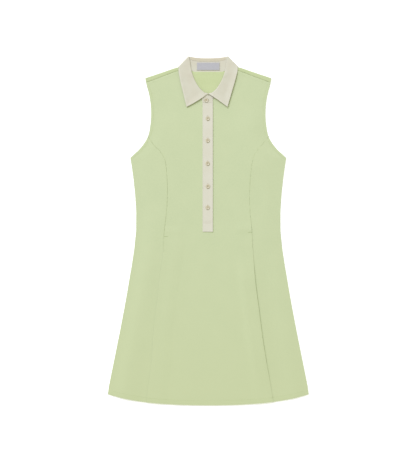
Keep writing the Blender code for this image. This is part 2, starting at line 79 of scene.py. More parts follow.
camera_data = bpy.data.cameras.new("catalogue camera")
camera_data.lens = LENS
camera_data.sensor_width = SENSOR
camera = bpy.data.objects.new("camera", camera_data)
bpy.context.scene.collection.objects.link(camera)
seen_height = PHOTO_HEIGHT_PX * MM_PER_PX * MM
camera.location = VIEW_CENTRE + UP * (seen_height * LENS / SENSOR)
camera_data.clip_end = SEES_AS_FAR_AS
bpy.context.scene.camera = camera
print("camera height in m:", round(camera.location.z, 3))

# %% [markdown]
# ## Floor and light
#
# The dress lies on a plain white table of opal acrylic, which glows a little, as product tables do, so that
# the dress has a clean edge. One soft lamp, 9 m wide, stands far beyond the collar on the left, where the
# photo's light comes from: the shadows of the collar points fall down and to the right. The world fills the
# shadows in with a warmer white and the lamp is a little cooler, so that lit cloth looks neutral and shadows
# turn olive, as in the photo. The view transform is the plain one, so that a colour matched to the photo
# stays that colour.

# %% Set up the floor, the lamp and the world
FLOOR_HALF = 12.0
FLOOR_DROP = 0.2 * MM
KEY_FROM = Vector((-4.9, 8.9, 10.4))
KEY_SIZE = 9.0
KEY_WATTS = 1505.0
KEY_COLOUR = (1.0, 1.0, 1.28)
FILL_STRENGTH = 0.65
FILL_COLOUR = (1.0, 1.0, 0.8, 1.0)

floor_shape = bmesh.new()
bmesh.ops.create_grid(floor_shape, x_segments=1, y_segments=1, size=FLOOR_HALF)
bmesh.ops.translate(floor_shape, verts=floor_shape.verts[:], vec=-UP * FLOOR_DROP)
floor_mesh = bpy.data.meshes.new("floor")
floor_shape.to_mesh(floor_mesh)
floor_shape.free()
floor = bpy.data.objects.new("floor", floor_mesh)
bpy.context.scene.collection.objects.link(floor)

lamp_data = bpy.data.lights.new("softbox", type="AREA")
lamp_data.shape = "DISK"
lamp_data.size = KEY_SIZE
lamp_data.energy = KEY_WATTS
lamp_data.color = KEY_COLOUR
lamp = bpy.data.objects.new("softbox", lamp_data)
lamp.location = KEY_FROM
lamp.rotation_mode = "QUATERNION"
lamp.rotation_quaternion = (-KEY_FROM).to_track_quat("-Z", "Y")
bpy.context.scene.collection.objects.link(lamp)

world = bpy.data.worlds.new("white studio")
world.use_nodes = True
world.node_tree.nodes["Background"].inputs["Color"].default_value = FILL_COLOUR
world.node_tree.nodes["Background"].inputs["Strength"].default_value = FILL_STRENGTH
bpy.context.scene.world = world
bpy.context.scene.view_settings.view_transform = "Standard"
print("lamp distance in m:", round(KEY_FROM.length, 2))

# %% [markdown]
# ## Colours and nodes
#
# Every colour is written as the hex value that a colour picker shows, and one function turns it into the
# linear numbers that the shader works with. One more function adds a node, sets it and links it, so that a
# material below reads as a short list of what it is made of. The Mix node has sockets of every kind under the
# same names, so its two colours and its result go by number.

# %% Helpers for materials
MIX_A, MIX_B, MIX_RESULT = 6, 7, 2


def linear(hex_colour):
    """An sRGB hex colour as linear red, green, blue and alpha."""
    channels = [int(hex_colour[k:k + 2], 16) / 255 for k in (1, 3, 5)]
    return (*[c / 12.92 if c <= 0.04045 else ((c + 0.055) / 1.055) ** 2.4 for c in channels], 1.0)


def add_node(material, kind, inputs=None, **settings):
    """A new node with its settings; an input given as a socket is linked, and any other is set."""
    tree = material.node_tree
    node = tree.nodes.new(kind)
    for name, value in settings.items():
        setattr(node, name, value)
    for name, value in (inputs or {}).items():
        if isinstance(value, bpy.types.NodeSocket):
            tree.links.new(value, node.inputs[name])
        else:
            node.inputs[name].default_value = value
    return node


def reckon(material, operation, *values):
    """The result of a Math node."""
    return add_node(material, "ShaderNodeMath", dict(enumerate(values)), operation=operation).outputs[0]


def mixed(material, factor, first, second):
    """Two colours mixed by a factor."""
    inputs = {0: factor, MIX_A: first, MIX_B: second}
    return add_node(material, "ShaderNodeMix", inputs, data_type="RGBA").outputs[MIX_RESULT]


def new_material(name, roughness, **sockets):
    """A Principled material with its uniform values set on the shader itself."""
    material = bpy.data.materials.new(name)
    material.use_nodes = True
    shader = material.node_tree.nodes["Principled BSDF"]
    shader.inputs["Roughness"].default_value = roughness
    for socket, value in sockets.items():
        shader.inputs[socket.replace("_", " ")].default_value = value
    return material, shader


def colour_and_relief(material, shader, colour, strength, depth_mm, height):
    """Links the colour and a fine relief of this depth to the shader."""
    inputs = {"Strength": strength, "Distance": depth_mm * MM, "Height": height}
    bump = add_node(material, "ShaderNodeBump", inputs)
    material.node_tree.links.new(colour, shader.inputs["Base Color"])
    material.node_tree.links.new(bump.outputs[0], shader.inputs["Normal"])


def wave_scale(spacing_mm):
    """The Wave texture's scale for bands that are this far apart, on coordinates in metres."""
    return 2 * math.pi / (20 * spacing_mm * MM)


TABLE_WHITE = "#f4f4f4"
TABLE_GLOW = 0.3
table, table_shader = new_material("opal acrylic", 0.9)
table_shader.inputs["Base Color"].default_value = linear(TABLE_WHITE)
table_shader.inputs["Emission Color"].default_value = linear("#ffffff")
table_shader.inputs["Emission Strength"].default_value = TABLE_GLOW
floor_mesh.materials.append(table)
print("table:", [round(c, 3) for c in linear(TABLE_WHITE)[:3]])

# %% [markdown]
# ## Double knit
#
# The body is a double knit of cotton and polyester: dense, matt and smooth, with fine upright ribs of small V
# shaped loops. From a step away it reads as one even pale pistachio with a soft bloom, which the sheen gives.
# The loops are drawn 1.5 mm wide, nearly twice their real size, so that a close view still shows them. The
# colour wanders a little, as dye does, and it turns a little yellower and darker towards the hem. Along the
# hems and the seams it is painted a touch darker, as painted shade; an attribute of each panel carries how
# much.

# %% Knit for the outside and the inside
LOOP_WIDTH = 1.5
LOOP_HEIGHT = 1.2
LOOP_SLANT = 0.8
FADE_FROM, FADE_TO = 60.0, -470.0
HEM_COLOUR_SHARE = 0.8


def knit_cloth(name, light, deep, edge_shade_and_highlight, hem_colour):
    """Double knit between two close colours, painted darker along hems and seams as painted shade, and
    yellower towards the hem.
    """
    material, shader = new_material(
        name, 0.85, Sheen_Weight=0.12, Sheen_Roughness=0.5, Specular_IOR_Level=0.25
    )
    place = add_node(material, "ShaderNodeTexCoord").outputs["Object"]
    axes = add_node(material, "ShaderNodeSeparateXYZ", {0: place})
    across = reckon(material, "MULTIPLY", axes.outputs["X"], 1 / (LOOP_WIDTH * MM))
    rows = reckon(material, "MULTIPLY", axes.outputs["Y"], 1 / (LOOP_HEIGHT * MM))
    turn = reckon(material, "PINGPONG", across, 1.0)
    slant = reckon(material, "MULTIPLY_ADD", turn, LOOP_SLANT, rows)
    loops = reckon(material, "PINGPONG", slant, 0.5)
    ribs = reckon(material, "PINGPONG", across, 0.5)
    relief = reckon(material, "ADD", loops, ribs)
    dye = add_node(material, "ShaderNodeTexNoise", {"Vector": place, "Scale": 18.0, "Detail": 3.0})
    fleck = add_node(material, "ShaderNodeTexNoise", {"Vector": place, "Scale": 260.0, "Detail": 2.0})
    wander = reckon(material, "MULTIPLY", dye.outputs[0], fleck.outputs[0])
    tone = add_node(
        material, "ShaderNodeMapRange", {"Value": wander, "From Min": 0.12, "From Max": 0.42}
    )
    colour = mixed(material, tone.outputs[0], linear(light), linear(deep))
    # Towards the hem the colour turns a little yellower and darker.
    down = add_node(
        material, "ShaderNodeMapRange",
        {
            "Value": axes.outputs["Y"], "From Min": FADE_FROM * MM, "From Max": FADE_TO * MM,
            "To Max": HEM_COLOUR_SHARE,
        },
    )
    hem_tinted = mixed(material, down.outputs[0], colour, linear(hem_colour))
    # Painted shade: the darker edge colour goes where this attribute says, along hems and seams.
    seam = add_node(material, "ShaderNodeAttribute", attribute_name="edge_shade_and_highlight")
    edge_painted = mixed(material, seam.outputs["Fac"], hem_tinted, linear(edge_shade_and_highlight))
    colour_and_relief(material, shader, edge_painted, 0.35, 0.25, relief)
    return material


knit = knit_cloth("pistachio double knit", "#c3cda5", "#bfcaa2", "#bdc899", "#c2cb9f")
inside_knit = knit_cloth(
    "pistachio double knit, wrong side", "#c4cf9f", "#bfca99", "#bbc790", "#c4cf9f"
)
print("knit loops in mm:", LOOP_WIDTH, "by", LOOP_HEIGHT)

# %% [markdown]
# ## Cream twill
#
# The collar, its stand and the placket are a cream cotton twill over a crisp interlining. Twill shows fine
# slanted lines and hardly any sheen. Its colour is painted a little lighter along its stitched edges, as a
# painted highlight, and darker and warmer in the roll of the collar and under its front part, as painted
# shade.
# The lines are drawn 1.2 mm apart, about twice as coarse as they are, or they would vanish.

# %% Twill for collar and placket
TWILL_SPACING = 1.2
TWILL_WAVER = 0.6


def twill(name, light, deep, edge_shade_and_highlight):
    """Cream twill between two close colours, with a third one painted along its stitched edges: a painted
    highlight on the lighter twills.
    """
    material, shader = new_material(name, 0.78, Sheen_Weight=0.06, Specular_IOR_Level=0.3)
    place = add_node(material, "ShaderNodeTexCoord").outputs["Object"]
    lines = add_node(
        material, "ShaderNodeTexWave",
        {"Vector": place, "Scale": wave_scale(TWILL_SPACING), "Distortion": TWILL_WAVER},
        wave_type="BANDS", bands_direction="DIAGONAL",
    )
    dye = add_node(material, "ShaderNodeTexNoise", {"Vector": place, "Scale": 30.0, "Detail": 4.0})
    tone = add_node(
        material, "ShaderNodeMapRange", {"Value": dye.outputs[0], "From Min": 0.3, "From Max": 0.7}
    )
    colour = mixed(material, tone.outputs[0], linear(light), linear(deep))
    # Painted highlight: the edge colour goes where this attribute says, along the stitched edges.
    edge = add_node(material, "ShaderNodeAttribute", attribute_name="edge_shade_and_highlight")
    edge_painted = mixed(material, edge.outputs["Fac"], colour, linear(edge_shade_and_highlight))
    colour_and_relief(material, shader, edge_painted, 0.25, 0.15, lines.outputs["Fac"])
    return material


cream = twill("cream cotton twill", "#cecdbb", "#cac6b3", "#d8d5c6")
pale_cream = twill("cream cotton twill, single ply", "#d3d1c1", "#d0cdbb", "#d6d4c6")
# Painted shade: a darker, warmer cream for the roll of the collar and the underside of its front part.
shaded_cream = twill("cream cotton twill, painted shade under collar", "#cbc5af", "#c7c0a9", "#c9c2ac")
print("twill lines in mm:", TWILL_SPACING)

# %% [markdown]
# ## Label, buttons and thread
#
# The neck label is a damask ribbon of grey polyester with fine woven lines and nothing on it. The buttons are
# polyester made to look like shell: pale, faintly cloudy and glossy under a clear coat. The thread is spun
# polyester in three colours, for the knit, the twill and the buttons. It is a shade deeper than its cloth
# because its twist holds shadow.

# %% Label, button and thread materials
LABEL_LINES = 1.4
THREAD_TWIST = 0.9


def small_stuff(name, light, deep, roughness, scale, bump_mm, lines=None, **sockets):
    """A fine material with two colours mixed by noise, and either the noise or lines as its relief."""
    material, shader = new_material(name, roughness, **sockets)
    place = add_node(material, "ShaderNodeTexCoord").outputs["Object"]
    cloud = add_node(material, "ShaderNodeTexNoise", {"Vector": place, "Scale": scale, "Detail": 3.0})
    colour = mixed(material, cloud.outputs[0], linear(light), linear(deep))
    height = cloud.outputs[0]
    if lines:
        inputs = {"Vector": place, "Scale": wave_scale(lines)}
        height = add_node(material, "ShaderNodeTexWave", inputs, bands_direction="Y").outputs["Fac"]
    colour_and_relief(material, shader, colour, 0.4, bump_mm, height)
    return material


def spun_thread(name, light, deep):
    """Spun polyester thread, with its twist as the relief."""
    return small_stuff(name, light, deep, 0.6, 900.0, 0.05, THREAD_TWIST)


label_damask = small_stuff(
    "grey damask ribbon", "#b5b5b9", "#a9a9ae", 0.5, 160.0, 0.1, LABEL_LINES, Sheen_Weight=0.2
)
shell = small_stuff(
    "polyester shell", "#cfc7ac", "#c4bc9f", 0.34, 220.0, 0.05, Coat_Weight=0.25, Coat_Roughness=0.2
)
green_thread = spun_thread("pistachio polyester thread", "#b3bf8c", "#a9b681")
cream_thread = spun_thread("cream polyester thread", "#cfc8b2", "#c4bca4")
button_cord = spun_thread("tan polyester button thread", "#bdb391", "#b1a784")
print("materials:", len(bpy.data.materials))

# %% [markdown]
# ## How the cloth lies
#
# A pressed knit dress doesn't lie like card. The front stands a little off the back away from the side seams,
# where the two are joined, and it keeps a few long soft folds from wearing and folding. The photo shows them
# as faint light and dark zones: a swell on the chest, a fold beside each pleat and flutes towards the hem.
# Each one is a ridge or a trough along a given line, and it fades out past its two ends.
# They are added up into one height for each place on the dress, and every layer above the back follows it, so
# that no layer cuts the one below.

# %% Folds of the front, in millimetres
Fold = namedtuple("Fold", "x1 y1 x2 y2 width height")
FOLDS = (
    Fold(128, 345, 120, 150, 80, 1.9),
    Fold(-150, -30, -224, -440, 58, 1.9),
    Fold(-96, -60, -100, -240, 40, 0.5),
    Fold(60, -20, 84, -200, 60, 0.9),
    Fold(150, -90, 188, -430, 34, -1.1),
    Fold(196, -60, 238, -430, 32, 0.9),
    Fold(158, 110, 166, -30, 40, 0.5),
)
FOLD_PAST = 0.35
FOLD_FADE = 0.5
LOFT = 1.15
LOFT_WIDTH = 42.0
LOFT_FULL_BELOW = 270.0
LOFT_FADE = 64.0
OUTLINE_FROM = 140


def smooth(t):
    """0 below 0, 1 above 1, and an S curve between."""
    t = min(max(t, 0.0), 1.0)
    return t * t * (3 - 2 * t)


def outline_of(node):
    """A node's half width at rising heights from its widest, in millimetres, where it is wide enough."""
    rows = {}
    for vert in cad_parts[node].data.vertices:
        height = round(vert.co.y / MM)
        rows[height] = max(rows.get(height, 0.0), abs(vert.co.x / MM))
    widest = max(rows, key=rows.get)
    heights = [height for height in sorted(rows) if height >= widest and rows[height] > OUTLINE_FROM]
    return [(height, rows[height]) for height in heights]


BACK_OUTLINE = outline_of("back")


def half_width(y):
    """Half the dress's width at a height, both in millimetres."""
    for (low, narrow), (high, wide) in zip(BACK_OUTLINE, BACK_OUTLINE[1:]):
        if low <= y <= high:
            return narrow + (wide - narrow) * (y - low) / (high - low)
    return BACK_OUTLINE[0][1] if y < BACK_OUTLINE[0][0] else BACK_OUTLINE[-1][1]


def beside(fold, x, y):
    """How far a place lies from a fold's line, and how far along the line, from 0 to 1."""
    run = Vector((fold.x2 - fold.x1, fold.y2 - fold.y1))
    along = Vector((x - fold.x1, y - fold.y1)).dot(run) / run.length_squared
    return abs((x - fold.x1) * run.y - (y - fold.y1) * run.x) / run.length, along


def rise(x, y):
    """Height in millimetres of the front above its flat place."""
    inside = smooth((half_width(y) - abs(x)) / LOFT_WIDTH)
    below_neck = 1 - smooth((y - LOFT_FULL_BELOW) / LOFT_FADE)
    height = LOFT
    for fold in FOLDS:
        away, along = beside(fold, x, y)
        if away < fold.width and -FOLD_PAST < along < 1 + FOLD_PAST:
            ends = smooth((along + FOLD_PAST) / FOLD_FADE) * smooth((1 + FOLD_PAST - along) / FOLD_FADE)
            height += fold.height * (0.5 + 0.5 * math.cos(math.pi * away / fold.width)) * ends
    return max(height, 0.0) * inside * below_neck


print("loft at the chest in mm:", round(rise(0, 150), 2), "and near the hem:", round(rise(0, -440), 2))

# %% [markdown]
# ## A finer shell for each panel
#
# Each panel starts as a copy of its solid, so that it has the true cut and lies in the true place. The copy's
# loose triangles are merged, and then it is cut into a lattice of small cells, as an even mesh bends softly.

# %% Copy a solid and cut it into cells
MERGE = 0.002 * MM
CUT_EPSILON = 0.001 * MM


def cloth_copy(node):
    """A merged copy of a CAD node's mesh."""
    shape = bmesh.new()
    shape.from_mesh(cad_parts[node].data)
    bmesh.ops.remove_doubles(shape, verts=shape.verts[:], dist=MERGE)
    return shape


def cut_lattice(shape, cell):
    """Cuts a shape with planes across X and then across Y, one cell apart."""
    for axis in (0, 1):
        across = Vector((axis == 0, axis == 1, 0))
        places = [vert.co[axis] for vert in shape.verts]
        for k in range(math.floor(min(places) / cell) + 1, math.ceil(max(places) / cell)):
            bmesh.ops.bisect_plane(
                shape, geom=shape.verts[:] + shape.edges[:] + shape.faces[:], dist=CUT_EPSILON,
                plane_co=across * (k * cell), plane_no=across,
            )
    bmesh.ops.triangulate(shape, faces=shape.faces[:])


# %% [markdown]
# The rim of a panel is where its upper side ends. Its points tell how far each part of the cloth lies from
# the nearest edge, and later they guide the stitches. Near them the cells are halved again and again, because
# that is where the cloth is rounded, turned and stitched.

# %% Find the rims of a side, and make the cells near them finer
FACING = 0.5
RIM_ANGLE = math.radians(62)
RIM_STEP = 1.0 * MM
SKIN = 0.2 * MM
ABOVE_ALL = 30 * MM


def covered(tree, point, outwards):
    """Whether the same piece lies over a point of its own side."""
    return tree.ray_cast(point + outwards * SKIN, outwards, ABOVE_ALL)[0] is not None


def rim_edges(shape, outwards=UP):
    """Edges where a face that looks outwards meets the cloth's thin edge, if nothing covers them."""
    shape.normal_update()
    tree = BVHTree.FromBMesh(shape)
    found = []
    for edge in shape.edges:
        shown = [face.normal.dot(outwards) > FACING for face in edge.link_faces]
        if len(shown) == 2 and shown[0] != shown[1] and edge.calc_face_angle() > RIM_ANGLE:
            if not covered(tree, (edge.verts[0].co + edge.verts[1].co) / 2, outwards):
                found.append(edge)
    return found


def rim_points(shape):
    """Points along the rims, a millimetre or less apart."""
    points = []
    for edge in rim_edges(shape):
        start, end = edge.verts[0].co, edge.verts[1].co
        steps = max(1, math.ceil((end - start).length / RIM_STEP))
        points += [start.lerp(end, k / steps) for k in range(steps)]
    return points


def tree_of(points):
    """A tree that finds the nearest of some points."""
    tree = KDTree(len(points))
    for k, point in enumerate(points):
        tree.insert(point, k)
    tree.balance()
    return tree


def refine_near(shape, rims, reach, longest):
    """Halves every edge that lies within reach of a rim and is longer than it may be there."""
    near = {vert for vert in shape.verts if rims.find(vert.co)[2] < reach}
    edges = [edge for edge in shape.edges if edge.verts[0] in near and edge.verts[1] in near]
    edges = [edge for edge in edges if edge.calc_length() > longest]
    bmesh.ops.subdivide_edges(shape, edges=edges, cuts=1, use_grid_fill=True)
    bmesh.ops.triangulate(shape, faces=shape.faces[:])


# %% [markdown]
# ## What happens at an edge
#
# The cloth is turned under and stitched 12 mm above the hem and 6.5 mm inside the armholes, so it is thicker
# along those edges and sinks where the stitches pull it down. At a seam it rolls down into the seam, over a
# soft ridge of allowances. A twill edge is turned, pressed and stitched closer in.
#
# Each edge has five numbers, in millimetres but for the painted share: how much thicker the turned cloth is,
# where it is stitched, how far it rolls down at the very edge, how much painted edge colour it gets, and how
# far in that reaches. That colour is painted shade on the knit and a painted highlight on the twill. The
# heights are tenths of a millimetre, and the light does the rest.

# %% Edge profiles
# The fourth and fifth numbers paint shade along the knit's hems and seams, most of all the shoulder seams,
# and a highlight along the twill's edges.
Edge = namedtuple("Edge", "turned stitch_at roll dye dyed_to")
HEM_EDGE = Edge(0.15, 12.0, 0.1, 0.25, 12.0)
ARMHOLE_EDGE = Edge(0.15, 6.5, 0.1, 0.25, 6.5)
SEAM_EDGE = Edge(0.05, 7.0, 0.02, 0.3, 1.0)
SHOULDER_EDGE = Edge(0.12, 7.0, 0.5, 1.0, 0.3)
COLLAR_EDGE = Edge(0.3, 5.0, 0.2, 0.25, 5.0)
PRESSED_EDGE = Edge(0.15, 2.2, 0.15, 0.25, 2.2)
PLAIN_SEAMS = (SEAM_EDGE, SHOULDER_EDGE)
BAND_EASE = 0.5
BAND_FADE = 2.0
ROLL_WIDTH = 1.3
GROOVE = 0.22
GROOVE_WIDTH = 0.9


def edge_height(edge, away):
    """What an edge adds to the height of the cloth, this many millimetres away from it."""
    band = edge.turned * (1 - smooth((away - edge.stitch_at + BAND_EASE) / BAND_FADE))
    roll = edge.roll * (1 - smooth(away / ROLL_WIDTH))
    groove = 0.0
    if edge not in PLAIN_SEAMS:
        groove = GROOVE * math.exp(-(((away - edge.stitch_at) / GROOVE_WIDTH) ** 2))
    return band - roll - groove


# %% [markdown]
# A rim point's place says which edge of the dress it is on. The hem is an arc, so its height is read off the
# back's own lowest edge; the armholes are the part of the outline above the underarm.

# %% Tell the edges of the body apart
UNDERARM = 196.0
SHOULDER_ABOVE = 380.0
HEM_BELOW = -425.0
ON_OUTLINE = 2.5


def lowest_line(node):
    """A function for the height of a node's lowest edge beside the centre line, in millimetres."""
    places = {}
    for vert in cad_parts[node].data.vertices:
        if vert.co.y / MM < HEM_BELOW:
            x = round(abs(vert.co.x) / MM)
            places[x] = min(places.get(x, 0.0), vert.co.y / MM)
    line = sorted(places.items())

    def at(x):
        for (near, low), (far, high) in zip(line, line[1:]):
            if near <= x <= far:
                return low + (high - low) * (x - near) / (far - near)
        return line[-1][1] if x > line[-1][0] else line[0][1]

    return at


hem_line = lowest_line("back")


def on_hem(point):
    """Whether a rim point of the body lies on the hem."""
    return point.y / MM < HEM_BELOW and point.y / MM < hem_line(abs(point.x / MM)) + ON_OUTLINE


def on_armhole(point):
    """Whether a rim point of the body lies on an armhole."""
    return half_width(point.y / MM) - abs(point.x / MM) < ON_OUTLINE and point.y / MM > UNDERARM


def body_edge(point):
    """The profile of a rim point of the body."""
    if on_hem(point):
        return HEM_EDGE
    if on_armhole(point):
        return ARMHOLE_EDGE
    return SHOULDER_EDGE if point.y / MM > SHOULDER_ABOVE else SEAM_EDGE


print("hem height in mm at the centre and at the side:", round(hem_line(0), 1), round(hem_line(265), 1))

# %% [markdown]
# Each vertex of the upper side gets the edge's height, and the whole wall gets the height of the folds. How
# much painted edge colour a vertex gets, painted shade on the knit and a painted highlight on the twill, is
# kept as an attribute. Where two panels meet, their edges are drawn towards each other by a hair, as a seam
# draws them.

# %% Settle the cloth
EDGE_REACH = 3.6
EDGE_PAINT_FADE = 1.0
ON_RIM = 0.05
SEAM_DRAWN = 0.15


def settle(shape, points, kinds, lifted):
    """Lifts each vertex by the folds and its edge's profile, and notes how much painted edge colour it gets.
    """
    rims = tree_of(points)
    flat_rims = tree_of([Vector((point.x, point.y, 0)) for point in points])
    layer = shape.verts.layers.float.new("edge_shade_and_highlight")
    moves = {}
    for vert in shape.verts:
        found, index, away = rims.find(vert.co)
        kind = kinds[index]
        away /= MM
        height = lifted(vert.co, away)
        if kind and away < kind.stitch_at + EDGE_REACH:
            facing = vert.normal.z / FACING
            relief = edge_height(kind, away)
            height += relief * smooth(facing) - min(relief, 0.0) * smooth(-facing)
        # The share of painted edge colour: painted shade on the knit, a painted highlight on the twill.
        if kind:
            vert[layer] = kind.dye * (1 - smooth((away - kind.dyed_to) / EDGE_PAINT_FADE))
        moves[vert] = UP * height * MM
        beside_rim = flat_rims.find(Vector((vert.co.x, vert.co.y, 0)))[2] / MM
        if kind is SEAM_EDGE and beside_rim < ON_RIM:
            outwards = Vector((vert.normal.x, vert.normal.y, 0))
            moves[vert] += outwards.normalized() * SEAM_DRAWN * MM
    for vert, move in moves.items():
        vert.co += move


# %% [markdown]
# Now the shell itself: copy, cut, refine, settle and round. A live Bevel modifier rounds the cut edges, so
# that they catch the light as cloth does. Each finished shape is also kept for the stitches to drop onto.

# %% Make a shell of cloth
SEWN = {}
ROUND_WIDTH = 0.14 * MM
ROUND_LIMIT = math.radians(50)


def finish_piece(name, shape, materials, replaced):
    """Makes the piece's object with its materials, hangs it on the body, and hides the nodes that it
    replaces.
    """
    mesh = bpy.data.meshes.new(name)
    shape.to_mesh(mesh)
    shape.free()
    for material in materials:
        mesh.materials.append(material)
    mesh.shade_smooth()
    piece = bpy.data.objects.new(name, mesh)
    bpy.context.scene.collection.objects.link(piece)
    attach(piece, BODY)
    if replaced:
        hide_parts(*replaced)
    return piece


def round_edges(cloth):
    """Rounds the cut edges of a cloth, and leaves them live."""
    rounding = cloth.modifiers.new("rounded edges", "BEVEL")
    rounding.width = ROUND_WIDTH
    rounding.segments = 2
    rounding.limit_method = "ANGLE"
    rounding.angle_limit = ROUND_LIMIT
    rounding.use_clamp_overlap = True


def cloth_shell(node, material, cell, edge_kind, lifted, passes, rows=()):
    """A finer shell on a node's form; edge_kind gives a rim point its profile, and lifted a height."""
    shape = cloth_copy(node)
    cut_lattice(shape, cell)
    points = rim_points(shape)
    kinds = [edge_kind(point) for point in points]
    fine_places = tree_of(points + list(rows))
    for reach, longest in passes:
        refine_near(shape, fine_places, reach * MM, longest * MM)
    shape.normal_update()
    settle(shape, points, kinds, lifted)
    SEWN[node] = BVHTree.FromBMesh(shape)
    cloth = finish_piece(f"{node}_cloth", shape, [material], [node])
    round_edges(cloth)
    print(node, "shell faces:", len(cloth.data.polygons))
    return cloth


# %% [markdown]
# ## Back, centre front and side fronts
#
# The back lies flat on the table and the three front panels rise over it. The two pleats are pressed down to
# a fifth of the room that their folds take; the left one gapes again halfway down, as it was worn.

# %% Make the four panels
KNIT_CELL = 10 * MM
KNIT_PASSES = ((12.0, 5.0), (9.0, 3.0), (3.0, 1.6))
PLEAT_TOP = 12.0
PLEAT_BEYOND = 60.0
PLEAT_FROM_Z = 3.0
PRESSED = 0.22
PRESSED_OVER = 26.0
GAPING = 1.0
GAPE_BELOW, GAPE_OVER = 60.0, 90.0
GAPE_ENDS_AT, GAPE_ENDS_OVER = -440.0, 130.0


def keep_flat(point, away):
    """What lies on the table, or on what does, has no lift."""
    return 0.0


def lift_front(point, away):
    """A part of the front follows the folds."""
    return rise(point.x / MM, point.y / MM)


def pleat_loft(x, y):
    """What is left of a pleat's thickness."""
    at_top = 1 - smooth((PLEAT_TOP - y) / PRESSED_OVER)
    gape = 0.0
    if x > 0:
        begun = smooth((PLEAT_TOP - GAPE_BELOW - y) / GAPE_OVER)
        gape = begun * smooth((y - GAPE_ENDS_AT) / GAPE_ENDS_OVER)
    return PRESSED + (GAPING - PRESSED) * max(gape, at_top)


def lift_pleated(point, away):
    """The centre front rises as the rest does, and its pleats are pressed down on what is below them."""
    x, y, z = point / MM
    pressed = min(z - PLEAT_FROM_Z, 0.0) + max(z - PLEAT_FROM_Z, 0.0) * pleat_loft(x, y)
    on_pleat = y < PLEAT_TOP and abs(x) > PLEAT_BEYOND
    return rise(x, y) + (pressed + PLEAT_FROM_Z - z if on_pleat else 0.0)


back = cloth_shell("back", inside_knit, KNIT_CELL, body_edge, keep_flat, KNIT_PASSES)
front_centre = cloth_shell("front_centre", knit, KNIT_CELL, body_edge, lift_pleated, KNIT_PASSES)
side_right = cloth_shell("front_side_right", knit, KNIT_CELL, body_edge, lift_front, KNIT_PASSES)
side_left = cloth_shell("front_side_left", knit, KNIT_CELL, body_edge, lift_front, KNIT_PASSES)

# %% [markdown]
# ## Collar, stand and placket
#
# These pieces are small, crisp and doubled, so their cells are smaller, and their edges are pressed and
# stitched closer in. The collar's points never lie quite flat on a real shirt: the fold at the neck pushes
# them up. Here they spring a millimetre and a half, and nearly one more on the wearer's left, and throw a
# thin soft shadow on the knit. The upper placket strip stands off a little along its free edge, and two rows
# of stitches hold its foot.

# %% How the collar and the placket lie
LEAF_SPRING = 1.5
MORE_ON_LEFT = 0.9
SPRING_WIDTH = 16.0
SPRING_FROM = 436.0
SPRING_OVER = 40.0
SPRING_BESIDE = 4.0
SPRING_ASIDE = 9.0
FRONT_PART_ABOVE = 2.9 * MM
STRIP_SPRING = 0.8
STRIP_SPRING_OVER = 9.0
STRIP_FREE_X = 12.2
STRIP_TOP_ABOVE = 3.6 * MM
BOX_GROOVE = 0.5
BOX_ROWS = (19.6, 22.2)


def lift_leaf(point, away):
    """The leaf's front springs up towards its turned edges; its back part lies below the dress."""
    if point.z < FRONT_PART_ABOVE:
        return 0.0
    down = smooth((SPRING_FROM - point.y / MM) / SPRING_OVER)
    aside = smooth((abs(point.x / MM) - SPRING_BESIDE) / SPRING_ASIDE)
    spring = LEAF_SPRING + (MORE_ON_LEFT if point.x > 0 else 0.0)
    return spring * down * aside * (1 - smooth(away / SPRING_WIDTH))


def lift_placket(point, away):
    """The upper strip follows the folds, springs at its free edge and sinks at the rows of its box."""
    x, y = point.x / MM, point.y / MM
    free = STRIP_SPRING * (1 - smooth((STRIP_FREE_X - x) / STRIP_SPRING_OVER))
    held = sum(BOX_GROOVE * math.exp(-(((y - row) / GROOVE_WIDTH) ** 2)) for row in BOX_ROWS)
    return rise(x, y) + free - (held if point.z > STRIP_TOP_ABOVE else 0.0)


def leaf_edge(point):
    """The turned edges of the front part; nothing is stitched at the roll or below the dress."""
    return COLLAR_EDGE if point.z > FRONT_PART_ABOVE else None


def pressed_edge(point):
    """A small strip has the same pressed edge all round."""
    return PRESSED_EDGE


# %% [markdown]
# The rows of the placket's box cross the middle of the strip, far from its rims, so their own points ask for
# fine cells there.

# %% Make the collar, the stand, both placket strips and the label
TWILL_CELL = 4 * MM
TWILL_PASSES = ((3.0, 2.2), (1.2, 1.2))
BOX_X = range(-15, 13)
BOX_Z = 4.2
BOX_POINTS = [Vector((x, y, BOX_Z)) * MM for x in BOX_X for y in BOX_ROWS]


def twill_shell(node, material, edge_kind, lifted, rows=()):
    """A shell of the collar or the placket."""
    return cloth_shell(
        node, material, TWILL_CELL, edge_kind, lifted, TWILL_PASSES, rows
    )


leaf = twill_shell("collar_leaf", cream, leaf_edge, lift_leaf)
stand = twill_shell("collar_stand", cream, pressed_edge, keep_flat)
placket = twill_shell("placket_upper", pale_cream, pressed_edge, lift_placket, BOX_POINTS)
under_placket = twill_shell("placket_under", pale_cream, pressed_edge, lift_front)
label = cloth_shell("neck_label", label_damask, TWILL_CELL, pressed_edge, keep_flat, ())

# %% [markdown]
# Little light gets into the roll of the collar and under its front part, so the faces there get a darker,
# warmer cream as painted shade. The stand's lower edge sags a little in the middle, where the neck seam lets
# it.

# %% Shade the collar's folds and lower the stand's edge
ROLL_HALF = 46.0
ROLL_FROM_Y = 445.0
ROLL_TOP = 4.4
leaf.data.materials.append(shaded_cream)
# Painted shade: faces in the roll and on the underside of the front part take the darker cream.
for face in leaf.data.polygons:
    x, y, z = face.center / MM
    in_roll = abs(x) < ROLL_HALF and y > ROLL_FROM_Y and z < ROLL_TOP
    below = face.normal.z < -FACING and face.center.z > FRONT_PART_ABOVE
    face.material_index = int(in_roll or below)

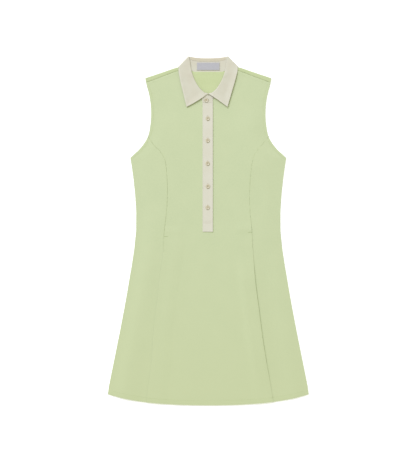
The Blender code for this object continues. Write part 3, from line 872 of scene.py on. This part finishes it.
STAND_DROP = 2.2
SAG_FROM_Y, SAG_TO_Y = 415, 430
SAG_OVER_Y = 4
SAG_HALF, SAG_OVER_X = 42, 6
for vert in stand.data.vertices:
    x, y, z = vert.co / MM
    up_and_down = smooth((SAG_TO_Y - y) / SAG_OVER_Y) * smooth((y - SAG_FROM_Y) / SAG_OVER_Y)
    low_edge = up_and_down * smooth((SAG_HALF - abs(x)) / SAG_OVER_X)
    vert.co.y -= STAND_DROP * low_edge * MM
print("shaded faces of the leaf:", sum(face.material_index for face in leaf.data.polygons))

# %% [markdown]
# The back folds forward over both shoulders, so its narrow strips there show the right side of the knit, as
# its underside does, with painted shade over the whole strip, as dark as along the shoulder seams. Only the
# part inside the neck opening shows the wrong side, which looks yellower.

# %% Show the right side of the back where it does show
STRIP_BEYOND = 72.0 * MM
STRIP_ABOVE = 2.2 * MM
STRIP_SHADE = 0.9
back.data.materials.append(knit)
# Painted shade over the whole of each shoulder strip.
dye = back.data.attributes["edge_shade_and_highlight"].data
for face in back.data.polygons:
    strip = face.center.z > STRIP_ABOVE and abs(face.center.x) > STRIP_BEYOND
    face.material_index = int(strip or face.normal.z < FACING)
    if strip:
        for number in face.vertices:
            dye[number].value = max(dye[number].value, STRIP_SHADE)
print("faces on the right side:", sum(face.material_index for face in back.data.polygons))

# %% [markdown]
# ## Sewing
#
# Every hem and every turned edge of the real dress is held by a row of lockstitches. Each stitch is a short
# length of thread that bulges out of its groove, so here each one is a tiny stretched sphere of a few faces.
# Their sizes are in millimetres.

# %% Place one stitch
Thread = namedtuple("Thread", "pitch length width height")
SEAM_THREAD = Thread(3.0, 2.3, 0.5, 0.34)
SHIRT_THREAD = Thread(2.5, 1.9, 0.45, 0.3)
SATIN_THREAD = Thread(0.7, 1.6, 0.5, 0.36)


def add_stitch(row, centre, along, outwards, thread):
    """Notes down the place of one stitch, stretched along its row."""
    side = outwards.cross(along).normalized()
    lengthwise = along.normalized() * thread.length / 2
    axes = (lengthwise, side * thread.width / 2, outwards * thread.height / 2)
    turn = Matrix([axis * MM for axis in axes]).transposed().to_4x4()
    row.append(Matrix.Translation(centre) @ turn)


def on_cloth(node, x, y, outwards=UP):
    """The place on a finished piece's upper or lower side, or nothing."""
    start = Vector((x, y, 0)) + outwards * ABOVE_ALL
    return SEWN[node].ray_cast(start, -outwards, 2 * ABOVE_ALL)[0]


# %% [markdown]
# A row follows the rim of its piece: the rim's edges are strung together, points are measured off along them,
# and each stitch is moved inwards and dropped onto the finished cloth. It is left out where it would fall on
# another layer or come too near another edge.

# %% Sew along the rims
SAME_LAYER = 3 * MM
INSET_SLACK = 0.4


def chains_of(edges):
    """Edges strung together into lists of points."""
    left = dict.fromkeys(edges)
    chains = []
    while left:
        first = next(iter(left))
        del left[first]
        chain = [first.verts[0], first.verts[1]]
        for turn in range(2):
            link = True
            while link:
                link = next((edge for edge in chain[-1].link_edges if edge in left), None)
                if link:
                    del left[link]
                    chain.append(link.other_vert(chain[-1]))
            chain.reverse()
        chains.append([vert.co.copy() for vert in chain])
    return chains


def measured_off(chain, pitch):
    """Points a pitch apart along a chain, each with the chain's direction there."""
    spare = pitch / 2
    for start, end in zip(chain, chain[1:]):
        step = end - start
        while spare < step.length:
            yield start + step.normalized() * spare, step.normalized()
            spare += pitch
        spare -= step.length


def sew_rims(row, node, inset, thread, belongs, outwards=UP):
    """Rows of stitches inside the rims of a piece, where belongs(point) says so."""
    solid = cloth_copy(node)
    chains = chains_of(rim_edges(solid, outwards))
    solid.free()
    near = tree_of([point for chain in chains for point, along in measured_off(chain, RIM_STEP)])
    count = 0
    for chain in chains:
        for point, along in measured_off(chain, thread.pitch * MM):
            if not belongs(point):
                continue
            for inwards in (outwards.cross(along), along.cross(outwards)):
                place = on_cloth(node, *(point + inwards * inset * MM).xy, outwards)
                if place and abs(place.z - point.z) < SAME_LAYER:
                    clear = near.find(Vector((place.x, place.y, point.z)))[2]
                    if clear > (inset - INSET_SLACK) * MM:
                        add_stitch(row, place, along, outwards, thread)
                        count += 1
    return count


# %% [markdown]
# An operator looks at every face of its mesh, so thousands of stitches in one mesh would slow it down. They
# are made in small batches, which are then joined.

# %% Turn the noted stitches into thread
BATCH = 40
STITCH_SIDES = 6
STITCH_RINGS = 4


def sewn_piece(name, row, material):
    """One piece of thread out of all the stitches of a row."""
    whole = bmesh.new()
    for first in range(0, len(row), BATCH):
        batch = bmesh.new()
        for place in row[first:first + BATCH]:
            bmesh.ops.create_uvsphere(
                batch, u_segments=STITCH_SIDES, v_segments=STITCH_RINGS, radius=1.0, matrix=place
            )
        carrier = bpy.data.meshes.new("batch")
        batch.to_mesh(carrier)
        batch.free()
        whole.from_mesh(carrier)
        bpy.data.meshes.remove(carrier)
    return finish_piece(name, whole, [material], [])


# %% [markdown]
# The hem and the armholes are stitched with a thread in the knit's colour, on the front and on the back.

# %% Sew the hem and the armholes
UNDER = -UP
green = []
counts = []
for node in ("back", "front_centre", "front_side_right", "front_side_left"):
    counts.append(sew_rims(green, node, HEM_EDGE.stitch_at, SEAM_THREAD, on_hem))
    counts.append(sew_rims(green, node, ARMHOLE_EDGE.stitch_at, SEAM_THREAD, on_armhole))
counts.append(sew_rims(green, "back", HEM_EDGE.stitch_at, SEAM_THREAD, on_hem, UNDER))
counts.append(sew_rims(green, "back", ARMHOLE_EDGE.stitch_at, SEAM_THREAD, on_armhole, UNDER))
print("stitches in the knit:", counts)

# %% [markdown]
# A bar tack is a short dense row of satin stitches across the top of each pleat, where the skirt would tear
# otherwise. Each thread of it runs across the row, at a slight slant.

# %% Bar tacks on the pleats
Tack = namedtuple("Tack", "x1 x2 y node")
TACKS = (Tack(-127.9, -106.7, -15.4, "front_centre"), Tack(105.3, 118.6, -4.2, "front_centre"))
TACK_SLANT = Vector((0.2, 1, 0))
SATIN_RISE = 0.1


def satin_row(row, node, start, end, across, thread):
    """Threads side by side from start to end, in millimetres, each one lying across the row."""
    count = round((end - start).length / thread.pitch)
    for k in range(count + 1):
        spot = start.lerp(end, k / count)
        place = on_cloth(node, spot.x * MM, spot.y * MM)
        if place:
            add_stitch(row, place + UP * SATIN_RISE * MM, across, UP, thread)


for tack in TACKS:
    start, end = Vector((tack.x1, tack.y)), Vector((tack.x2, tack.y))
    satin_row(green, tack.node, start, end, TACK_SLANT, SATIN_THREAD)
knit_sewing = sewn_piece("knit_stitches", green, green_thread)
print("faces of thread in the knit:", len(knit_sewing.data.polygons))

# %% [markdown]
# The collar is stitched 5 mm inside its turned edge, and the stand and the upper placket strip 2 mm inside
# theirs. At the foot of the placket two rows of a box of stitches hold both strips. The label is sewn down
# close to its edge.

# %% Sew the collar, the stand, the placket and the label
CLOSE_INSET = 2.0
LABEL_INSET = 1.2
SIDEWAYS = Vector((1, 0, 0))


def on_front_part(point):
    """Whether a rim point of the leaf lies on its front part."""
    return point.z > FRONT_PART_ABOVE


def on_back_part(point):
    """Whether a rim point of the leaf lies on the part below the dress."""
    return point.z < FRONT_PART_ABOVE


def anywhere(point):
    """Every rim point."""
    return True


twill_seams = []
counts = [
    sew_rims(twill_seams, "collar_leaf", COLLAR_EDGE.stitch_at, SHIRT_THREAD, on_front_part),
    sew_rims(twill_seams, "collar_leaf", COLLAR_EDGE.stitch_at, SHIRT_THREAD, on_back_part, UNDER),
    sew_rims(twill_seams, "collar_stand", CLOSE_INSET, SHIRT_THREAD, anywhere),
    sew_rims(twill_seams, "placket_upper", CLOSE_INSET, SHIRT_THREAD, anywhere),
    sew_rims(twill_seams, "neck_label", LABEL_INSET, SHIRT_THREAD, anywhere),
]
placket_low, placket_high = (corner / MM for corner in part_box("placket_upper"))
box_row = [placket_low.x + 2 * CLOSE_INSET, placket_high.x - 2 * CLOSE_INSET]
steps = round((box_row[1] - box_row[0]) / SHIRT_THREAD.pitch)
for y in BOX_ROWS:
    for k in range(steps + 1):
        x = box_row[0] + (box_row[1] - box_row[0]) * k / steps
        place = on_cloth("placket_upper", x * MM, y * MM)
        add_stitch(twill_seams, place, SIDEWAYS, UP, SHIRT_THREAD)
print("stitches in the twill:", counts)

# %% [markdown]
# Each buttonhole is a slit between two rows of satin stitches with a bar at each end. They run up and down on
# the placket and lie across on the stand, as on a shirt.

# %% Buttonholes
HOLE_LENGTH = 13.0
HOLE_ROW = 0.95
END_BAR_HALF = 1.6
buttons = [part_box(f"button_{number}") for number in range(1, 7)]
centres = [(low + high) / 2 / MM for low, high in buttons]
for number, centre in enumerate(centres):
    on_stand = number == 0
    run = Vector((1, 0)) if on_stand else Vector((0, 1))
    across = Vector((-run.y, run.x))
    node = "collar_stand" if on_stand else "placket_upper"
    middle = centre.xy
    for side in (-1, 1):
        lip = middle + across * side * HOLE_ROW
        ends = lip - run * HOLE_LENGTH / 2, lip + run * HOLE_LENGTH / 2
        satin_row(twill_seams, node, *ends, across.to_3d(), SATIN_THREAD)
        bar = middle + run * side * HOLE_LENGTH / 2
        ends = bar - across * END_BAR_HALF, bar + across * END_BAR_HALF
        satin_row(twill_seams, node, *ends, run.to_3d(), SATIN_THREAD)
twill_sewing = sewn_piece("twill_stitches", twill_seams, cream_thread)
print("faces of thread in the twill:", len(twill_sewing.data.polygons))

# %% [markdown]
# ## Buttons
#
# A shirt button is turned from a disc: a flat underside, a rounded rim and a dished face with four holes. The
# outline is spun round the axis, and the holes are cut by a Boolean with four pins.

# %% Make one button
RIM_R, DISH_R, DISH_DEPTH = 5.5, 4.0, 0.55
BUTTON_HIGH = 2.0
PIN_R, PIN_OUT = 0.8, 1.35
PIN_SIDES = 14
SPIN_STEPS = 40


def button_blank():
    """The turned disc, its underside at z 0."""
    shape = bmesh.new()
    face = BUTTON_HIGH - DISH_DEPTH
    outline = [(0, 0), (RIM_R - 0.9, 0), (RIM_R - 0.25, 0.35), (RIM_R, 0.95), (RIM_R - 0.2, 1.55)]
    outline += [(RIM_R - 0.65, BUTTON_HIGH - 0.08), (RIM_R - 1.0, BUTTON_HIGH), (DISH_R, BUTTON_HIGH - 0.2)]
    outline += [(DISH_R - 0.7, face + 0.08), (DISH_R - 1.4, face), (0, face)]
    ring = [shape.verts.new(Vector((r, 0, z)) * MM) for r, z in outline]
    for start, end in zip(ring, ring[1:]):
        shape.edges.new((start, end))
    bmesh.ops.spin(
        shape, geom=shape.verts[:] + shape.edges[:], cent=(0, 0, 0), axis=UP, angle=math.tau,
        steps=SPIN_STEPS, use_merge=True,
    )
    bmesh.ops.remove_doubles(shape, verts=shape.verts[:], dist=MERGE)
    bmesh.ops.recalc_face_normals(shape, faces=shape.faces[:])
    return shape


def pins():
    """Four pins where the holes are."""
    shape = bmesh.new()
    for x, y in ((-1, -1), (1, -1), (1, 1), (-1, 1)):
        place = Matrix.Translation(Vector((x * PIN_OUT, y * PIN_OUT, BUTTON_HIGH / 2)) * MM)
        bmesh.ops.create_cone(
            shape, cap_ends=True, segments=PIN_SIDES, radius1=PIN_R * MM, radius2=PIN_R * MM,
            depth=3 * BUTTON_HIGH * MM, matrix=place,
        )
    return shape


# %% [markdown]
# The blank and the pins are objects only for as long as the Boolean needs them.

# %% Cut the holes
def loose_object(name, shape):
    """An object for the Boolean, which is taken away again."""
    mesh = bpy.data.meshes.new(name)
    shape.to_mesh(mesh)
    shape.free()
    thing = bpy.data.objects.new(name, mesh)
    bpy.context.scene.collection.objects.link(thing)
    return thing


blank = loose_object("blank", button_blank())
punch = loose_object("punch", pins())
holes = blank.modifiers.new("holes", "BOOLEAN")
holes.operation = "DIFFERENCE"
holes.solver = "EXACT"
holes.object = punch
punched = blank.evaluated_get(bpy.context.evaluated_depsgraph_get())
button_mesh = bpy.data.meshes.new_from_object(punched)
bpy.data.objects.remove(blank)
bpy.data.objects.remove(punch)
print("faces of a button:", len(button_mesh.polygons))

# %% [markdown]
# Each button lies a hair above the cloth on its thread and rises with it. It is turned a little, as nobody
# sews them on in line, and four short bars of thread hold it through its holes.

# %% Place the buttons and sew them on
TURNS = (12, -8, 24, 3, -19, 9)
THREAD_SPREAD = 0.24
THREAD_LIFT = 0.15
BAR_THREAD = Thread(1.0, 2 * PIN_OUT + 1.1, 0.5, 0.4)
bars = []
for number, (centre, turn) in enumerate(zip(centres, TURNS), start=1):
    low, high = buttons[number - 1]
    sits = Vector((centre.x * MM, centre.y * MM, low.z + rise(centre.x, centre.y) * MM))
    place = Matrix.Translation(sits) @ Matrix.Rotation(math.radians(turn), 4, "Z")
    shape = bmesh.new()
    shape.from_mesh(button_mesh)
    bmesh.ops.transform(shape, matrix=place, verts=shape.verts[:])
    button = finish_piece(f"shell_button_{number}", shape, [shell], [f"button_{number}"])
    button.data.set_sharp_from_angle(angle=ROUND_LIMIT)
    for row in (-1, 1):
        for strand in (-1, 1):
            y = row * PIN_OUT + strand * THREAD_SPREAD
            bar = place @ (Vector((0, y, BUTTON_HIGH - DISH_DEPTH + THREAD_LIFT)) * MM)
            add_stitch(bars, bar, place.to_3x3() @ SIDEWAYS, UP, BAR_THREAD)
button_thread = sewn_piece("button_thread", bars, button_cord)
print("buttons:", len(TURNS), "at rising x in mm:", sorted(round(centre.x, 1) for centre in centres))

# %% [markdown]
# ## What each sheet of cloth was cut to
#
# A sheet's cut is larger than what shows: it has a hem of 25 mm, seam allowances of 10 mm and the returns of
# its pleats. The collar and the placket are cut twice and turned, and the table gives one of their two plies.

Cut = namedtuple("Cut", "piece width length area lies_on")
CUTS = (
    Cut(back, 0.552, 0.945, 0.392, ["floor"]),
    Cut(front_centre, 0.372, 0.925, 0.270, ["back_cloth"]),
    Cut(side_right, 0.195, 0.740, 0.088, ["back_cloth"]),
    Cut(side_left, 0.195, 0.740, 0.088, ["back_cloth"]),
    Cut(leaf, 0.480, 0.085, 0.0205, ["back_cloth", "front_centre_cloth"]),
    Cut(stand, 0.420, 0.040, 0.0088, ["back_cloth", "front_centre_cloth"]),
    Cut(placket, 0.028, 0.352, 0.0097, ["placket_under_cloth"]),
    Cut(under_placket, 0.023, 0.357, 0.0081, ["back_cloth"]),
    Cut(label, 0.070, 0.0202, 0.0014, ["collar_stand_cloth"]),
)
for cut in CUTS:
    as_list(cut.lies_on)
print("cloth in one ply in square metres:", round(sum(cut.area for cut in CUTS), 3))
